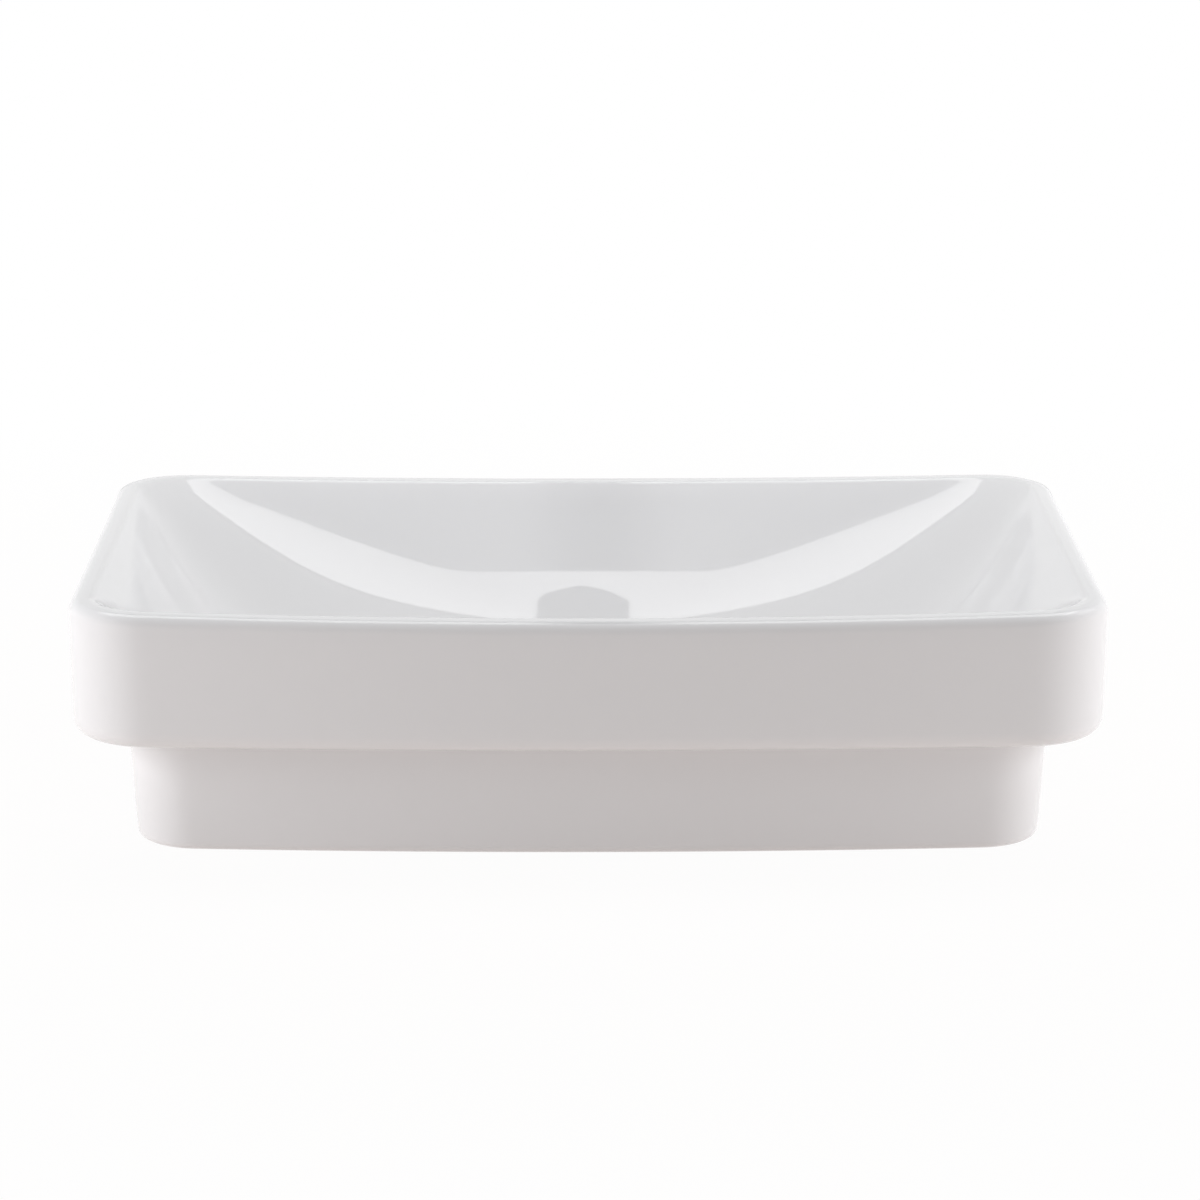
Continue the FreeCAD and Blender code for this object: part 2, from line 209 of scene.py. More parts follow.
def round_ring(radius):
    """A circle with the same number of points."""
    points = []
    count = 4 * QUARTER
    for number in range(count):
        turn = 2 * math.pi * number / count
        points.append((radius * math.cos(turn), radius * math.sin(turn)))
    return points


# --- Heights of the curved surfaces over the plan ---

def bowl_share(x, y, growth):
    """Which level section of the bowl a plan point lies on, as a share of the rim's size."""
    half_x = HALF_WIDTH - RIM_WIDTH + growth
    half_y = HALF_DEPTH - RIM_WIDTH + growth
    corner = BOWL_CORNER + growth
    if y < 0:
        y = y / (1 - BOW / half_y * (x / (half_x - corner)) ** 2)
    x, y = abs(x), abs(y)
    low, high = 0.0, 1.2
    halvings = 40
    for _ in range(halvings):
        share = (low + high) / 2
        sunk = 1 - share ** END_FULLNESS
        reach_x = half_x * share
        reach_y = half_y * share ** (END_FULLNESS / SIDE_FULLNESS)
        corner_x = min(corner + (reach_x - corner) * max(sunk, 0), reach_x)
        corner_y = min(corner + (reach_y - corner) * max(sunk, 0), reach_y)
        over_x = x - (reach_x - corner_x)
        over_y = y - (reach_y - corner_y)
        if over_x > 0 and over_y > 0:
            inside = (over_x / corner_x) ** 2 + (over_y / corner_y) ** 2 < 1
        else:
            inside = x < reach_x and y < reach_y
        if inside:
            high = share
        else:
            low = share
    return high


def bowl_height(x, y):
    """Height of the bowl's glazed surface."""
    depth = HEIGHT - FLOOR_Z
    return HEIGHT - depth * (1 - bowl_share(x, y, 0.0) ** END_FULLNESS)


def underside_height(x, y):
    """Height of the bowl's underside."""
    depth = HEIGHT - FLOOR_Z + FLOOR_WALL
    return HEIGHT - depth * (1 - bowl_share(x, y, BOWL_WALL) ** END_FULLNESS)


def rim_height(x):
    """Height of the rim's crest, a little lower at the middle of the long sides."""
    return HEIGHT - RIM_DIP * (1 - (x / HALF_WIDTH) ** 2)


def soft_lower(a, b, width):
    """The lower of two heights, rounded where they cross."""
    gap = max(width - abs(a - b), 0.0) / width
    return min(a, b) - gap * gap * width / 4


def blended(start, end, share):
    """A ring part of the way from one outline to another."""
    return [((1 - share) * x0 + share * x1, (1 - share) * y0 + share * y1)
            for (x0, y0), (x1, y1) in zip(start, end)]


def level(ring, z):
    """A flat ring of points."""
    return [Vector((x, y, z)) for x, y in ring]


# --- The ceramic ---

def outer_rings():
    """Rings of the outside, from the foot up to the rim's crest, with their finishes."""
    rings = []
    foot_inset = LEDGE_WIDTH + LOWER_DRAFT
    for step in range(FOOT_STEPS + 1):
        turn = math.pi / 2 * step / FOOT_STEPS
        inset = foot_inset + FOOT_ROUND * (1 - math.sin(turn))
        z = FOOT_ROUND * (1 - math.cos(turn))
        corner = LOWER_CORNER - FOOT_ROUND * (1 - math.sin(turn))
        rings.append(level(tray_ring(inset, corner), z))
    top = LEDGE_Z - LEDGE_HOLLOW
    for step in range(1, WALL_STEPS + 1):
        z = FOOT_ROUND + (top - FOOT_ROUND) * step / WALL_STEPS
        inset = foot_inset - LOWER_DRAFT * z / LEDGE_Z
        rings.append(level(tray_ring(inset, LOWER_CORNER), z))
    for step in range(1, COVE_STEPS + 1):
        turn = math.pi / 2 * step / COVE_STEPS
        out = LEDGE_HOLLOW * (1 - math.cos(turn))
        z = top + LEDGE_HOLLOW * math.sin(turn)
        rings.append(level(tray_ring(LEDGE_WIDTH - out, LOWER_CORNER + out), z))
    ledge_start = UPPER_DRAFT + LEDGE_ROUND
    for step in range(1, LEDGE_STEPS):
        inset = LEDGE_WIDTH - LEDGE_HOLLOW
        inset += (ledge_start - inset) * step / LEDGE_STEPS
        corner = LOWER_CORNER + LEDGE_HOLLOW
        corner += (CORNER - LEDGE_ROUND - corner) * step / LEDGE_STEPS
        rings.append(level(tray_ring(inset, corner), LEDGE_Z))
    for step in range(ROUND_STEPS + 1):
        turn = math.pi / 2 * step / ROUND_STEPS
        inset = UPPER_DRAFT + LEDGE_ROUND * (1 - math.sin(turn))
        z = LEDGE_Z + LEDGE_ROUND * (1 - math.cos(turn))
        corner = CORNER - LEDGE_ROUND * (1 - math.sin(turn))
        rings.append(level(tray_ring(inset, corner), z))
    low = LEDGE_Z + LEDGE_ROUND
    high = HEIGHT - RIM_DIP - RIM_ROUND
    for step in range(1, WALL_STEPS):
        share = step / WALL_STEPS
        z = low + (high - low) * share
        inset = UPPER_DRAFT * (1 - share)
        rings.append(level(tray_ring(inset, CORNER), z))
    for step in range(ROUND_STEPS + 1):
        turn = math.pi / 2 * step / ROUND_STEPS
        inset = RIM_ROUND * (1 - math.cos(turn))
        corner = CORNER - inset
        drop = RIM_ROUND * (1 - math.sin(turn))
        rings.append([Vector((x, y, rim_height(x) - drop)) for x, y in tray_ring(inset, corner)])
    return rings


def bowl_rings():
    """Rings of the bowl, from inside the rim's crest down into the drain."""
    rings = []
    crest = tray_ring(RIM_ROUND, CORNER - RIM_ROUND)
    lip = tray_ring(RIM_WIDTH + RIM_BLEND, CORNER - RIM_WIDTH - RIM_BLEND)
    mouth = round_ring(RECESS_RADIUS + RECESS_ROUND)
    outlines = [blended(crest, lip, step / LIP_STEPS) for step in range(1, LIP_STEPS + 1)]
    outlines += [blended(lip, mouth, (step / BOWL_STEPS) ** BOWL_SPACING)
                 for step in range(1, BOWL_STEPS + 1)]
    for outline in outlines:
        rings.append([Vector((x, y, soft_lower(rim_height(x), bowl_height(x, y), RIM_BLEND)))
                      for x, y in outline])
    edge = rings[-1]
    for step in range(1, RECESS_STEPS + 1):
        turn = math.pi / 2 * step / RECESS_STEPS
        radius = RECESS_RADIUS + RECESS_ROUND * (1 - math.sin(turn))
        ring = []
        for (x, y), point in zip(round_ring(radius), edge):
            z = FLOOR_Z - RECESS_ROUND * (1 - math.cos(turn))
            ring.append(Vector((x, y, z + (point.z - FLOOR_Z) * (1 - step / RECESS_STEPS))))
        rings.append(ring)
    for radius, z in ((RECESS_RADIUS, SEAT_Z + DRAIN_CHAMFER),
                      (RECESS_RADIUS - DRAIN_CHAMFER, SEAT_Z),
                      (DRAIN_RADIUS + DRAIN_CHAMFER, SEAT_Z),
                      (DRAIN_RADIUS, SEAT_Z - DRAIN_CHAMFER),
                      (DRAIN_RADIUS, BOSS_Z + DRAIN_CHAMFER),
                      (DRAIN_RADIUS + DRAIN_CHAMFER, BOSS_Z)):
        rings.append(level(round_ring(radius), z))
    return rings


def hollow_rings():
    """Rings of the unglazed inside, from the boss round the drain out and down to the foot."""
    bulge = 0.3 * BOSS_ROUND
    rings = [level(round_ring(BOSS_RADIUS - BOSS_ROUND), BOSS_Z),
             level(round_ring(BOSS_RADIUS - bulge), BOSS_Z + bulge),
             level(round_ring(BOSS_RADIUS), BOSS_Z + BOSS_ROUND)]
    start = round_ring(BOSS_RADIUS)
    inner_corner = CORNER - WALL
    roof = tray_ring(WALL, inner_corner)
    for step in range(ROOF_STEPS):
        outline = blended(start, roof, step / ROOF_STEPS)
        rings.append([Vector((x, y, soft_lower(HOLLOW_TOP, underside_height(x, y), ROOF_BLEND)))
                      for x, y in outline])
    ledge_top = LEDGE_Z + LEDGE_WALL
    lower_corner = LOWER_CORNER - WALL
    for z in (HOLLOW_TOP - HOLLOW_ROUND, HOLLOW_TOP - 4 * HOLLOW_ROUND,
              ledge_top + 4 * HOLLOW_ROUND, ledge_top + HOLLOW_ROUND):
        rings.append(level(tray_ring(WALL + UPPER_DRAFT / 2, inner_corner), z))
    rings.append(level(tray_ring(WALL + LEDGE_ROOF_ROUND, inner_corner), ledge_top))
    rings.append(level(tray_ring(LEDGE_WIDTH + WALL - LEDGE_ROOF_ROUND,
                                 lower_corner + LEDGE_ROOF_ROUND), ledge_top))
    skirt_top = ledge_top - HOLLOW_ROUND
    for step in range(SKIRT_STEPS + 1):
        z = skirt_top - (skirt_top - FOOT_CHAMFER) * step / SKIRT_STEPS
        inset = LEDGE_WIDTH + WALL + LOWER_DRAFT * (1 - z / LEDGE_Z)
        rings.append(level(tray_ring(inset, lower_corner), z))
    foot_inset = LEDGE_WIDTH + WALL + LOWER_DRAFT - FOOT_CHAMFER
    rings.append(level(tray_ring(foot_inset, lower_corner), 0.0))
    return rings


def finish_mesh(name, bm, finishes, body, replaced):
    """Make an object of a mesh, give it its finishes, and hang it on its body."""
    bmesh.ops.recalc_face_normals(bm, faces=bm.faces)
    mesh = bpy.data.meshes.new(name)
    bm.to_mesh(mesh)
    bm.free()
    piece = bpy.data.objects.new(name, mesh)
    bpy.context.scene.collection.objects.link(piece)
    for finish in finishes:
        mesh.materials.append(finish)
    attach(piece, body)
    if replaced:
        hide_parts(*replaced)
    return piece


def lofted(bands, closing=None):
    """A skin drawn through rings. Each band is its rings and its finish's number.

    closing is the finish of the band that joins the last ring to the first. Without it, the
    ends are filled.
    """
    bm = bmesh.new()
    rings = [(ring, finish) for band, finish in bands for ring in band]
    first = rings[0][0]
    bmesh.ops.create_circle(bm, cap_ends=False, segments=len(first), radius=1.0)
    bm.verts.ensure_lookup_table()
    line = list(bm.verts)
    edges = list(bm.edges)
    for vert, place in zip(line, first):
        vert.co = place
    around = rings[1:]
    if closing is None:
        bmesh.ops.contextual_create(bm, geom=edges)
    else:
        around = around + [(first, closing)]
    for ring, finish in around:
        made = bmesh.ops.extrude_edge_only(bm, edges=edges)["geom"]
        fresh = {item for item in made if isinstance(item, bmesh.types.BMVert)}
        line = [next(edge.other_vert(vert) for edge in vert.link_edges
                     if edge.other_vert(vert) in fresh) for vert in line]
        edges = [item for item in made if isinstance(item, bmesh.types.BMEdge)
                 and item.verts[0] in fresh and item.verts[1] in fresh]
        for vert, place in zip(line, ring):
            vert.co = place
        for item in made:
            if isinstance(item, bmesh.types.BMFace):
                item.material_index = finish
                item.smooth = True
    if closing is None:
        bmesh.ops.contextual_create(bm, geom=edges)
    bmesh.ops.remove_doubles(bm, verts=bm.verts, dist=1e-6)
    return bm


def rounded(corners, rounds, steps=4):
    """A turned outline from its corners, some of them rounded."""
    outline = []
    for number, corner in enumerate(corners):
        here = Vector(corner)
        size = rounds.get(number, 0.0)
        if not size:
            outline.append(here)
            continue
        back_way = (Vector(corners[number - 1]) - here).normalized()
        on_way = (Vector(corners[(number + 1) % len(corners)]) - here).normalized()
        half_angle = back_way.angle(on_way) / 2
        centre = here + (back_way + on_way).normalized() * (size / math.sin(half_angle))
        start = here + back_way * (size / math.tan(half_angle)) - centre
        end = here + on_way * (size / math.tan(half_angle)) - centre
        for step in range(steps + 1):
            share = step / steps
            outline.append(centre + size * start.slerp(end, share).normalized())
    return outline


def turned(corners, rounds, solid=False):
    """A mesh turned about the drain's axis. A solid one has both its ends on that axis."""
    rings = [circle(radius, z) for radius, z in rounded(corners, rounds)]
    if solid:
        rings = rings[1:-1]
    return lofted([(rings, 0)], None if solid else 0)


def smoothed(piece):
    """Shade flat faces flat and roundings round."""
    holder = piece.modifiers.new("flat_faces", "WEIGHTED_NORMAL")
    holder.keep_sharp = True
    return piece


def circle(radius, z):
    """A level round ring of points."""
    return [Vector((radius * math.cos(2 * math.pi * number / AROUND),
                    radius * math.sin(2 * math.pi * number / AROUND), z))
            for number in range(AROUND)]


def waste_mesh():
    """Flange, threaded tube, and the bridge that carries the cartridge."""
    root = THREAD_RADIUS - THREAD_DEPTH
    rings = [circle(TUBE_BORE, TAIL_Z), circle(root, TAIL_Z)]
    thread_end = FLANGE_Z - THREAD_RUNOUT
    steps = round((thread_end - TAIL_Z) / THREAD_PITCH * THREAD_STEPS)
    for step in range(1, steps):
        z = TAIL_Z + (thread_end - TAIL_Z) * step / steps
        fade = min(step / THREAD_STEPS, (steps - step) / THREAD_STEPS, 1.0)
        ring = []
        for number in range(AROUND):
            turn = 2 * math.pi * number / AROUND
            wave = 0.5 + 0.5 * math.cos(2 * math.pi * z / THREAD_PITCH - turn)
            radius = THREAD_RADIUS - THREAD_DEPTH * (1 - wave * fade)
            ring.append(Vector((radius * math.cos(turn), radius * math.sin(turn), z)))
        rings.append(ring)
    corners = [(root, thread_end), (THREAD_RADIUS, thread_end + 0.001),
               (THREAD_RADIUS, FLANGE_Z), (FLANGE_RADIUS, FLANGE_Z),
               (FLANGE_RADIUS, FLANGE_TOP_Z), (0.026, FLANGE_TOP_Z),
               (0.019, FLANGE_TOP_Z - 0.0019), (TUBE_BORE, FLANGE_TOP_Z - 0.006)]
    rounds = {3: 0.0004, 4: 0.0012, 5: 0.004, 6: 0.0012, 7: 0.001}
    rings += [circle(radius, z) for radius, z in rounded(corners, rounds)]
    bm = lofted([(rings, 0)], 0)
    boss = [(BRIDGE_BORE, BRIDGE_Z), (BRIDGE_RADIUS, BRIDGE_Z), (BRIDGE_RADIUS, BRIDGE_TOP_Z),
            (BRIDGE_BORE, BRIDGE_TOP_Z)]
    add_mesh(bm, turned(boss, {0: 0.0003, 1: 0.0006, 2: 0.0006, 3: 0.0003}))
    for number in range(4):
        rib = bmesh.new()
        reach = RIB_END - RIB_START
        place = Matrix.Rotation(math.pi / 2 * number, 4, "Z") @ Matrix.Translation(
            (RIB_START + reach / 2, 0, (BRIDGE_Z + BRIDGE_TOP_Z) / 2))
        size = Matrix.Diagonal((reach, RIB_WIDTH, BRIDGE_TOP_Z - BRIDGE_Z, 1))
        bmesh.ops.create_cube(rib, size=1.0, matrix=place @ size)
        bmesh.ops.bevel(rib, geom=list(rib.edges), offset=RIB_ROUND, segments=3, profile=0.5,
                        affect="EDGES", material=-1)
        for face in rib.faces:
            face.smooth = True
        add_mesh(bm, rib)
    return bm


def add_mesh(bm, other):
    """Put another mesh into this one."""
    spare = bpy.data.meshes.new("spare")
    other.to_mesh(spare)
    other.free()
    bm.from_mesh(spare)
    bpy.data.meshes.remove(spare)


def nut_mesh():
    """Six-sided nut, chamfered below."""
    flat = NUT_CORNER * math.cos(math.pi / 6)
    start = flat - NUT_CHAMFER
    top = NUT_TOP_Z - NUT_Z
    rings = [circle(TUBE_FIT, NUT_Z + 0.0008), circle(TUBE_FIT + 0.0008, NUT_Z),
             circle(start - 0.0004, NUT_Z)]
    heights = [0.00015 + 0.0003 * step for step in range(13)]
    heights += [top - 0.0006, top - 0.0003, top - 0.0001, top]
    for height in heights:
        rise = max(height - top + NUT_ROUND, 0)
        shrink = NUT_ROUND - math.sqrt(max(NUT_ROUND ** 2 - rise ** 2, 0))
        ring = []
        for number in range(AROUND):
            turn = 2 * math.pi * number / AROUND
            side = flat / math.cos((turn % (math.pi / 3)) - math.pi / 6)
            radius = soft_lower(side, start + height * math.sqrt(3), 0.0008) - shrink
            ring.append(Vector((radius * math.cos(turn), radius * math.sin(turn),
                                NUT_Z + height)))
        rings.append(ring)
    rings += [circle(TUBE_FIT + 0.0006, NUT_TOP_Z), circle(TUBE_FIT, NUT_TOP_Z - 0.0006)]
    return lofted([(rings, 0)], 0)


def cap_mesh():
    """Domed cover with a groove for its seal and a boss for the stem."""
    def dome(radius, skin):
        return CAP_TOP_Z - CAP_SPHERE + math.sqrt((CAP_SPHERE - skin) ** 2 - radius ** 2)
    steps = 12
    corners = [(0.0, CAP_TOP_Z), (0.0004, CAP_TOP_Z)]
    corners += [(CAP_RADIUS * step / steps, dome(CAP_RADIUS * step / steps, 0))
                for step in range(1, steps + 1)]
    corners += [(CAP_RADIUS, CAP_Z), (GROOVE_OUTER, CAP_Z), (GROOVE_OUTER, CAP_Z + GROOVE_DEPTH),
                (GROOVE_INNER, CAP_Z + GROOVE_DEPTH), (GROOVE_INNER, CAP_Z), (0.025, CAP_Z)]
    corners += [(radius, dome(radius, CAP_WALL))
                for radius in (0.025, 0.020, 0.015, 0.010, CAP_BOSS_RADIUS)]
    corners += [(CAP_BOSS_RADIUS, CAP_BOSS_Z), (STEM_FIT, CAP_BOSS_Z), (STEM_FIT, STEM_TOP_Z),
                (0.0, STEM_TOP_Z)]
    return turned(corners, {13: 0.0006, 14: 0.0003, 24: 0.0004, 25: 0.0003}, solid=True)


def spring_mesh():
    """Round wire wound in a helix."""
    low = SPRING_Z + SPRING_WIRE / 2
    high = SPRING_TOP_Z - SPRING_WIRE / 2
    steps = SPRING_TURNS * COIL_STEPS
    rings = []
    for step in range(steps + 1):
        turn = 2 * math.pi * step / COIL_STEPS
        out = Vector((math.cos(turn), math.sin(turn), 0))
        middle = out * SPRING_RADIUS + Vector((0, 0, low + (high - low) * step / steps))
        ring = []
        for number in range(WIRE_SIDES):
            angle = 2 * math.pi * number / WIRE_SIDES
            way = math.cos(angle) * out + Vector((0, 0, math.sin(angle)))
            ring.append(middle + SPRING_WIRE / 2 * way)
        rings.append(ring)
    return lofted([(rings, 0)])


def node_material(name):
    """A new node material and its shader."""
    material = bpy.data.materials.new(name)
    material.use_nodes = True
    tree = material.node_tree
    return material, tree, tree.nodes["Principled BSDF"]


def finish(name, colour, roughness, metallic=0.0, mottle=0.985, grain=9.0, ripple=22.0,
           wave=0.00002):
    """A finish with a faint mottle, slightly uneven gloss and slow waves in its surface."""
    material, tree, shader = node_material(name)
    shader.inputs["Metallic"].default_value = metallic
    shader.inputs["IOR"].default_value = 1.52
    place = tree.nodes.new("ShaderNodeTexCoord")
    spots = tree.nodes.new("ShaderNodeTexNoise")
    spots.inputs["Scale"].default_value = grain
    spots.inputs["Detail"].default_value = 3.0
    tint = tree.nodes.new("ShaderNodeValToRGB")
    tint.color_ramp.elements[0].color = [value * mottle for value in colour] + [1.0]
    tint.color_ramp.elements[1].color = list(colour) + [1.0]
    gloss = tree.nodes.new("ShaderNodeMapRange")
    gloss.inputs["To Min"].default_value = roughness * 0.85
    gloss.inputs["To Max"].default_value = roughness * 1.15
    waves = tree.nodes.new("ShaderNodeTexNoise")
    waves.inputs["Scale"].default_value = ripple
    waves.inputs["Detail"].default_value = 1.0
    bump = tree.nodes.new("ShaderNodeBump")
    bump.inputs["Strength"].default_value = 1.0
    bump.inputs["Distance"].default_value = wave
    tree.links.new(place.outputs["Object"], spots.inputs["Vector"])
    tree.links.new(place.outputs["Object"], waves.inputs["Vector"])
    tree.links.new(spots.outputs["Fac"], tint.inputs["Fac"])
    tree.links.new(spots.outputs["Fac"], gloss.inputs["Value"])
    tree.links.new(tint.outputs["Color"], shader.inputs["Base Color"])
    tree.links.new(gloss.outputs["Result"], shader.inputs["Roughness"])
    tree.links.new(waves.outputs["Fac"], bump.inputs["Height"])
    tree.links.new(bump.outputs["Normal"], shader.inputs["Normal"])
    return material


GLAZE = finish("white_glaze", (0.80, 0.798, 0.805), 0.04)
THIN_GLAZE = finish("thin_glaze", (0.76, 0.755, 0.74), 0.35, wave=0.0002)
BISQUE = finish("bisque", (0.70, 0.67, 0.62), 0.85, mottle=0.93, grain=60, wave=0.0002)
CHROME = finish("chrome", (0.80, 0.81, 0.82), 0.07, metallic=1.0, grain=120, wave=0.0)
BRASS = finish("brass", (0.78, 0.60, 0.33), 0.28, metallic=1.0, mottle=0.9, grain=150,
               ripple=400, wave=0.00002)
RUBBER = finish("rubber", (0.03, 0.03, 0.032), 0.55, mottle=0.8, grain=200, ripple=900,
                wave=0.00005)
NYLON = finish("nylon", (0.78, 0.77, 0.73), 0.42, grain=90, ripple=300, wave=0.00003)
ACETAL = finish("acetal", (0.80, 0.80, 0.78), 0.32, grain=90, ripple=300, wave=0.00002)
STEEL = finish("spring_steel", (0.62, 0.62, 0.63), 0.22, metallic=1.0, mottle=0.85, grain=300,
               ripple=600, wave=0.00001)

basin = finish_mesh("basin", lofted([(outer_rings() + bowl_rings(), 0), (hollow_rings(), 1)], 2),
                    [GLAZE, THIN_GLAZE, BISQUE], "basin", ["basin_body"])

FLANGE_SEAL_RADIUS = FLANGE_RADIUS - 0.001
SLIP_WASHER_RADIUS = 0.0295
SEAL_ROUND = 0.0003
SEAL_RINGS = {
    "flange_seal": [(TUBE_FIT, SEAT_Z), (FLANGE_SEAL_RADIUS, SEAT_Z),
                    (FLANGE_SEAL_RADIUS, FLANGE_Z), (TUBE_FIT, FLANGE_Z)],
    "cone_seal": [(TUBE_FIT, WASHER_Z), (0.029, WASHER_Z), (0.031, BOSS_Z), (0.0227, BOSS_Z),
                  (0.02203, BOSS_Z + 0.003), (TUBE_FIT, BOSS_Z + 0.003)],
    "slip_washer": [(TUBE_FIT, NUT_TOP_Z), (SLIP_WASHER_RADIUS, NUT_TOP_Z),
                    (SLIP_WASHER_RADIUS, WASHER_Z), (TUBE_FIT, WASHER_Z)],
    "plug_seal": [(GROOVE_INNER, CAP_Z - 0.001), (GROOVE_OUTER, CAP_Z - 0.001),
                  (GROOVE_OUTER, CAP_Z + GROOVE_DEPTH), (GROOVE_INNER, CAP_Z + GROOVE_DEPTH)],
}
for name, body, coat, slot in (("flange_seal", "basin", RUBBER, "rubber"),
                               ("cone_seal", "basin", RUBBER, "rubber"),
                               ("slip_washer", "basin", NYLON, "nylon"),
                               ("plug_seal", "plug", RUBBER, "rubber")):
    corners = SEAL_RINGS[name]
    mesh = turned(corners, {number: SEAL_ROUND for number in range(len(corners))})
    smoothed(finish_mesh(name + "_ring", mesh, [coat], body, [name]))

waste = finish_mesh("waste", waste_mesh(), [CHROME], "basin", ["waste_body"])
smoothed(waste)
nut = finish_mesh("nut", nut_mesh(), [BRASS], "basin", ["backnut"])
smoothed(nut)
cap = finish_mesh("cap", cap_mesh(), [CHROME], "plug", ["plug_cap"])
smoothed(cap)
spring = finish_mesh("spring", spring_mesh(), [STEEL], "basin", ["return_spring"])
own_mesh(spring)

for name, coat in (("cartridge_seal", RUBBER), ("cartridge_body", ACETAL),
                   ("cartridge_end_cap", ACETAL), ("plunger", ACETAL), ("ratchet_ring", ACETAL),
                   ("plug_stem", BRASS)):
    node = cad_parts[name]
    node.data.materials.clear()
    node.data.materials.append(coat)


# --- Studio ---

FLOOR_DROP = -0.0003        # keeps the floor just clear of the foot
COOL = (0.975, 0.982, 1.0)
BASIN_MIDDLE = (0, 0, 0.1)
SIDE_BOX = (1.0, 0.8)
CARD_Z = 0.5
STRIPE_LEFT, STRIPE_MIDDLE, STRIPE_RIGHT = -0.06, 0.013, 0.086
STRIPE_CORE = 0.005         # half the width that is fully dark
STRIPE_REACH = 0.068        # half the width over which it fades
PATCH_OUTLINE = [(-0.0325, 0.32), (-0.0325, 0.197), (-0.0266, 0.167), (-0.0149, 0.153),
                 (0.0, 0.140), (0.0145, 0.153), (0.0247, 0.167), (0.0351, 0.197), (0.0351, 0.32)]


def camera():
    """The photograph's view: nearly straight on, a little above."""
    pitch = math.radians(13.6038)
    yaw = math.radians(0.5967)
    roll = math.radians(0.0857)
    distance = 2.7305
    focal_length = 4463.9       # in pixels of the picture
    picture_width = 1200.0
    target = Vector((0.0081, 0.0, -0.0388))
    origin = Vector((0.0, 0.004, HEIGHT))
    eye = Vector((target.x, -distance * math.cos(pitch), target.z + distance * math.sin(pitch)))
    turn = Matrix.Rotation(-yaw, 3, "Z")
    basis = Matrix(((1, 0, 0), (0, math.sin(pitch), -math.cos(pitch)),
                    (0, math.cos(pitch), math.sin(pitch))))
    place = (turn @ basis @ Matrix.Rotation(roll, 3, "Z")).to_4x4()
    place.translation = origin + turn @ eye
    data = bpy.data.cameras.new("camera")
    data.sensor_width = 36.0
    data.lens = focal_length * data.sensor_width / picture_width
    view = bpy.data.objects.new("camera", data)
    bpy.context.scene.collection.objects.link(view)
    view.matrix_world = place
    bpy.context.scene.camera = view


def area_light(name, place, aim, size_x, size_y, glow, colour=(1, 1, 1)):
    """A soft box that looks at a point. glow is how bright its face is."""
    data = bpy.data.lights.new(name, "AREA")
    data.shape = "RECTANGLE"
    data.size = size_x
    data.size_y = size_y
    data.energy = math.pi * size_x * size_y * glow
    data.color = colour
    lamp = bpy.data.objects.new(name, data)
    bpy.context.scene.collection.objects.link(lamp)
    lamp.location = place
    lamp.rotation_euler = (Vector(aim) - Vector(place)).to_track_quat("-Z", "Y").to_euler()
    return lamp


def sight(tree):
    """1 for rays that show something: to the camera, in a reflection or through glass."""
    path = tree.nodes.new("ShaderNodeLightPath")
    seen = path.outputs["Is Camera Ray"]
    for kind in ("Is Glossy Ray", "Is Transmission Ray"):
        either = tree.nodes.new("ShaderNodeMath")
        either.operation = "MAXIMUM"
        tree.links.new(seen, either.inputs[0])
        tree.links.new(path.outputs[kind], either.inputs[1])
        seen = either.outputs[0]
    return seen


def stage_piece(name, bm, material):
    """A thing of the studio."""
    mesh = bpy.data.meshes.new(name)
    bm.to_mesh(mesh)
    bm.free()
    mesh.materials.append(material)
    piece = bpy.data.objects.new(name, mesh)
    bpy.context.scene.collection.objects.link(piece)
    return piece


def surroundings():
    """Pale light from all round, which reflections show white."""
    world = bpy.data.worlds.new("surroundings")
    bpy.context.scene.world = world
    world.use_nodes = True
    tree = world.node_tree
    ground = tree.nodes["Background"]
    ground.inputs["Color"].default_value = (1, 1, 1, 1)
    ground.inputs["Strength"].default_value = 0.19
    seen = tree.nodes.new("ShaderNodeBackground")
    seen.inputs["Color"].default_value = (1, 1, 1, 1)
    seen.inputs["Strength"].default_value = 1.0
    mix = tree.nodes.new("ShaderNodeMixShader")
    tree.links.new(sight(tree), mix.inputs["Fac"])
    tree.links.new(ground.outputs[0], mix.inputs[1])
    tree.links.new(seen.outputs[0], mix.inputs[2])
    tree.links.new(mix.outputs[0], tree.nodes["World Output"].inputs["Surface"])


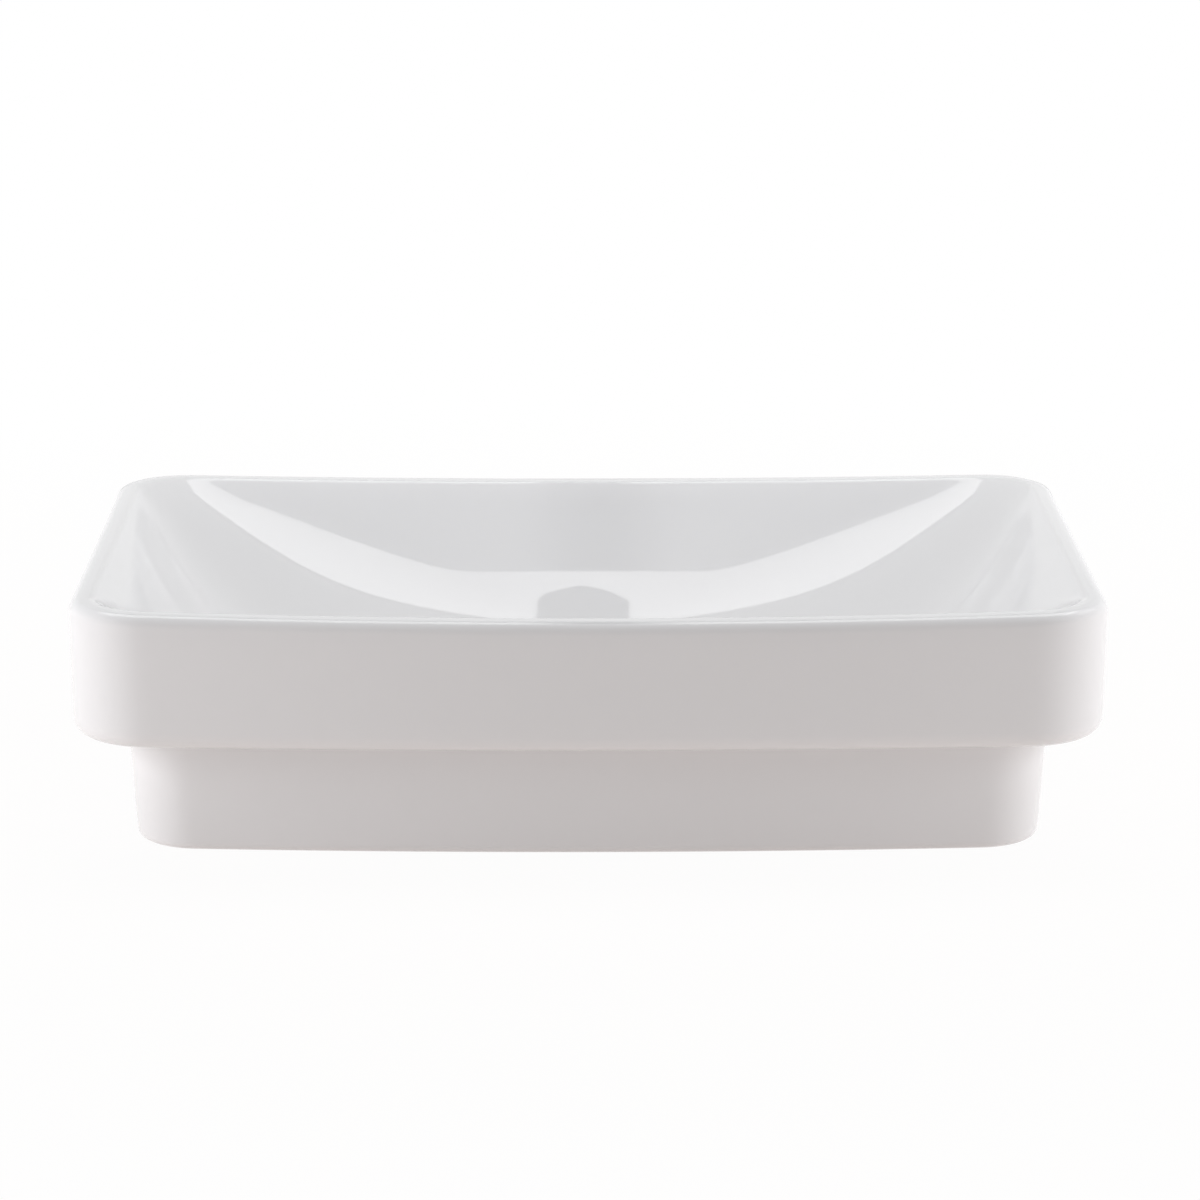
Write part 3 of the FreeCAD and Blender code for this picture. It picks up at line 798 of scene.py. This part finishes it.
def floor():
    """A white floor, whitest far off, that keeps a trace of shadow and sends up warm light."""
    material, tree, shader = node_material("pale_floor")
    shader.inputs["Base Color"].default_value = (0.60, 0.56, 0.54, 1)
    shader.inputs["Roughness"].default_value = 0.9
    warm = tree.nodes.new("ShaderNodeEmission")
    warm.inputs["Color"].default_value = (1, 0.90, 0.86, 1)
    warm.inputs["Strength"].default_value = 0.33
    lit = tree.nodes.new("ShaderNodeAddShader")
    glow = tree.nodes.new("ShaderNodeEmission")
    glow.inputs["Strength"].default_value = 1.0
    place = tree.nodes.new("ShaderNodeTexCoord")
    far = tree.nodes.new("ShaderNodeVectorMath")
    far.operation = "LENGTH"
    whiter = tree.nodes.new("ShaderNodeMapRange")
    whiter.inputs["From Min"].default_value = 0.4
    whiter.inputs["From Max"].default_value = 1.2
    whiter.inputs["To Min"].default_value = 0.93
    whiter.inputs["To Max"].default_value = 1.0
    share = tree.nodes.new("ShaderNodeMath")
    share.operation = "MULTIPLY"
    mix = tree.nodes.new("ShaderNodeMixShader")
    tree.links.new(shader.outputs[0], lit.inputs[0])
    tree.links.new(warm.outputs[0], lit.inputs[1])
    tree.links.new(place.outputs["Object"], far.inputs[0])
    tree.links.new(far.outputs["Value"], whiter.inputs["Value"])
    tree.links.new(sight(tree), share.inputs[0])
    tree.links.new(whiter.outputs["Result"], share.inputs[1])
    tree.links.new(share.outputs[0], mix.inputs["Fac"])
    tree.links.new(lit.outputs[0], mix.inputs[1])
    tree.links.new(glow.outputs[0], mix.inputs[2])
    tree.links.new(mix.outputs[0], tree.nodes["Material Output"].inputs["Surface"])
    bm = bmesh.new()
    bmesh.ops.create_grid(bm, x_segments=2, y_segments=2, size=12.0,
                          matrix=Matrix.Translation((0, 0, FLOOR_DROP)))
    stage_piece("floor", bm, material)


def dark_card(name, corners, glow=0.0, middle=None):
    """A flag that only reflections show. One with a middle line fades away from it."""
    material, tree, shader = node_material(name)
    tree.nodes.remove(shader)
    dark = tree.nodes.new("ShaderNodeEmission")
    dark.inputs["Strength"].default_value = glow
    target = tree.nodes["Material Output"].inputs["Surface"]
    if middle is None:
        tree.links.new(dark.outputs[0], target)
    else:
        place = tree.nodes.new("ShaderNodeTexCoord")
        parts = tree.nodes.new("ShaderNodeSeparateXYZ")
        off = tree.nodes.new("ShaderNodeMath")
        off.operation = "SUBTRACT"
        off.inputs[1].default_value = middle
        width = tree.nodes.new("ShaderNodeMath")
        width.operation = "ABSOLUTE"
        fade = tree.nodes.new("ShaderNodeMapRange")
        fade.interpolation_type = "SMOOTHSTEP"
        fade.inputs["From Min"].default_value = STRIPE_CORE
        fade.inputs["From Max"].default_value = STRIPE_REACH
        clear = tree.nodes.new("ShaderNodeBsdfTransparent")
        mix = tree.nodes.new("ShaderNodeMixShader")
        tree.links.new(place.outputs["Object"], parts.inputs[0])
        tree.links.new(parts.outputs["X"], off.inputs[0])
        tree.links.new(off.outputs[0], width.inputs[0])
        tree.links.new(width.outputs[0], fade.inputs["Value"])
        tree.links.new(fade.outputs["Result"], mix.inputs["Fac"])
        tree.links.new(dark.outputs[0], mix.inputs[1])
        tree.links.new(clear.outputs[0], mix.inputs[2])
        tree.links.new(mix.outputs[0], target)
    bm = bmesh.new()
    bmesh.ops.create_circle(bm, cap_ends=True, segments=len(corners), radius=1.0)
    for vert, corner in zip(bm.verts, corners):
        vert.co = corner
    card = stage_piece(name, bm, material)
    for ray in ("camera", "diffuse", "shadow", "transmission", "volume_scatter"):
        setattr(card, "visible_" + ray, False)


camera()
surroundings()
floor()
area_light("top_box", (0, 0.40, 1.5), (0, 0.40, 0), 2.2, 0.80, 2.40)
left_box = area_light("left_box", (-1.41, -0.51, 0.45), BASIN_MIDDLE, *SIDE_BOX, 5.0, COOL)
right_box = area_light("right_box", (1.46, -0.34, 0.45), BASIN_MIDDLE, *SIDE_BOX, 4.25, COOL)
area_light("right_high_box", (1.2, 0.3, 1.2), BASIN_MIDDLE, 0.8, 0.8, 1.1)
rear_box = area_light("rear_box", (0, 2.0, 0.7), BASIN_MIDDLE, 1.6, 0.6, 2.2)
for lamp in (left_box, right_box, rear_box):
    lamp.visible_glossy = False
dark_card("patch_card", [(x, y, CARD_Z) for x, y in PATCH_OUTLINE], glow=0.36)
dark_card("stripe_card", [(STRIPE_LEFT, -0.10, CARD_Z), (STRIPE_RIGHT, -0.10, CARD_Z),
                          (STRIPE_RIGHT, 0.097, CARD_Z), (STRIPE_LEFT, 0.097, CARD_Z)],
          middle=STRIPE_MIDDLE)
dark_card("back_card", [(-0.31, 0.215, 0.0), (0.31, 0.215, 0.0), (0.31, 0.215, 0.148),
                        (-0.31, 0.215, 0.148)], glow=0.45)
dark_card("back_stripe_card", [(STRIPE_LEFT, 0.21, 0.0), (STRIPE_RIGHT, 0.21, 0.0),
                               (STRIPE_RIGHT, 0.21, 0.148), (STRIPE_LEFT, 0.21, 0.148)],
          middle=STRIPE_MIDDLE)
bpy.context.scene.view_settings.view_transform = "Standard"
